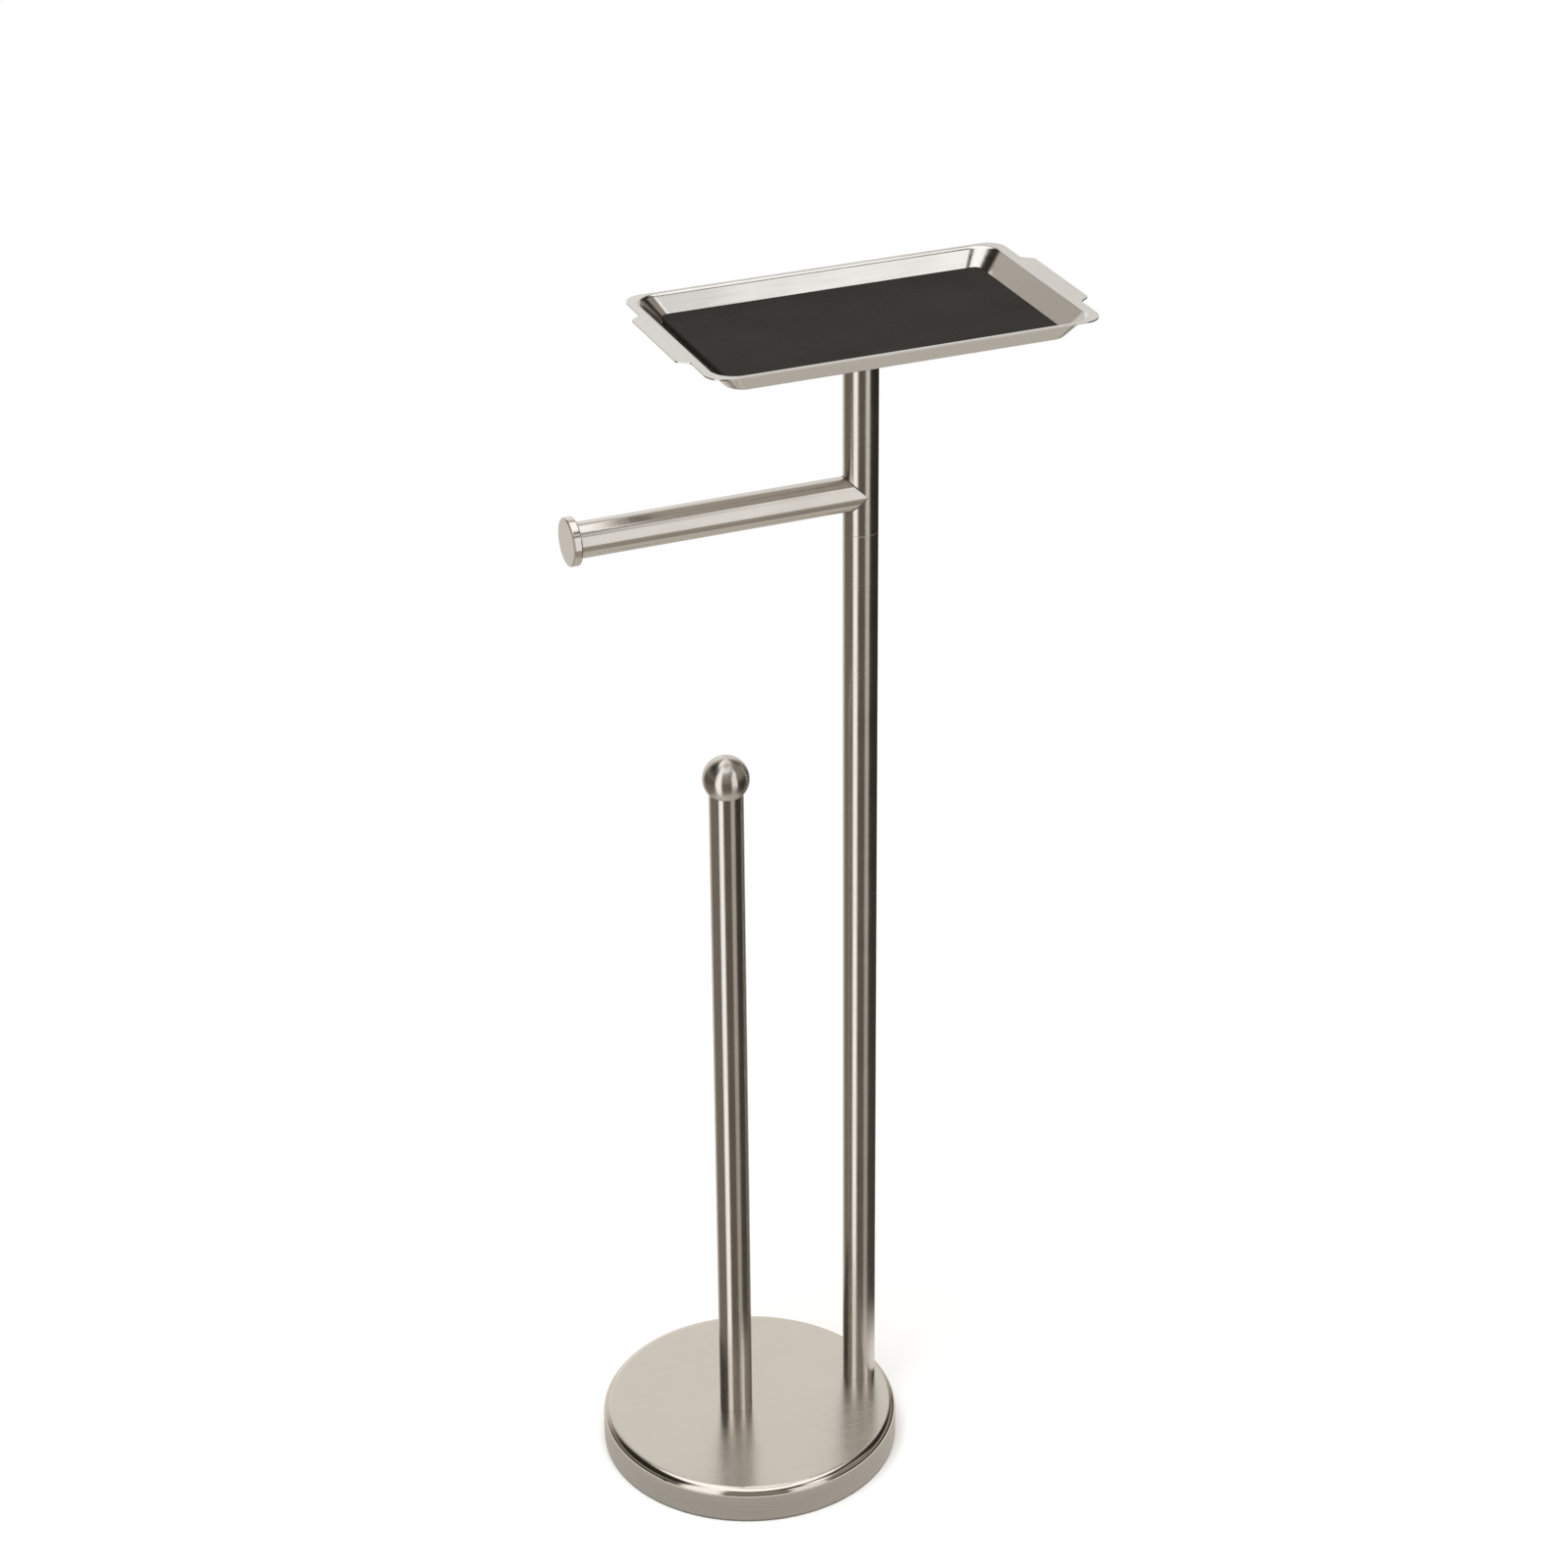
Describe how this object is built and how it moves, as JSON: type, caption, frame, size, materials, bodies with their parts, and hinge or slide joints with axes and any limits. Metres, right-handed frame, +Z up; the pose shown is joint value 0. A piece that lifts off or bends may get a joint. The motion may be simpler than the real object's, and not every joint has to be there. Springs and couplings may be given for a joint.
{
  "type": "toilet paper holder stand",
  "caption": "Free-standing toilet paper stand: weighted round base, tall post with a level roll arm, ball-topped spindle for spare rolls, and a flared shelf tray with a mat.",
  "frame": {"origin": "middle of the round base, on the floor", "axes": "+Z up along the post; +X from the base's middle towards the post, so the roll arm points to -X"},
  "size_m": [0.2915, 0.18, 0.7265],
  "materials": {
    "shell_steel": "satin brushed stainless",
    "tube_steel": "fine brushed stainless",
    "cap_steel": "fine brushed stainless",
    "ball_steel": "fine brushed stainless",
    "tray_steel": "satin pressed stainless sheet",
    "ballast_iron": "rough casting",
    "pad_rubber": "foamed, matt",
    "mat_rubber": "matt black",
    "gasket_nylon": "plain",
    "fastener_zinc": "zinc plated",
    "insert_steel": "turned steel"
  },
  "bodies": {
    "stand": {"base_shell": "shell_steel", "lower_post_tube": "tube_steel", "upper_post_tube": "tube_steel", "arm_tube": "tube_steel", "spindle_tube": "tube_steel", "arm_end_cap": "cap_steel", "ball_finial": "ball_steel", "base_weight": "ballast_iron", "base_pad": "pad_rubber", "tray_gasket": "gasket_nylon", "base_bolts": "fastener_zinc", "base_washers": "fastener_zinc", "base_lock_washers": "fastener_zinc", "tray_screw": "fastener_zinc", "post_joining_stud": "fastener_zinc", "finial_stud": "fastener_zinc", "lower_post_bottom_insert": "insert_steel", "lower_post_top_insert": "insert_steel", "upper_post_bottom_insert": "insert_steel", "upper_post_top_insert": "insert_steel", "spindle_bottom_insert": "insert_steel", "spindle_top_insert": "insert_steel"},
    "tray": {"tray": "tray_steel"},
    "mat": {"tray_mat": "mat_rubber"}
  },
  "joints": [
    {"name": "tray_swivel", "type": "hinge", "parent": "stand", "child": "tray", "pos_m": [0.0735, 0, 0.7145], "axis": [0, 0, 1], "continuous": true},
    {"name": "mat_lift", "type": "slide", "parent": "tray", "child": "mat", "axis": [0, 0, 1], "range_m": [0, 0.06]}
  ]
}
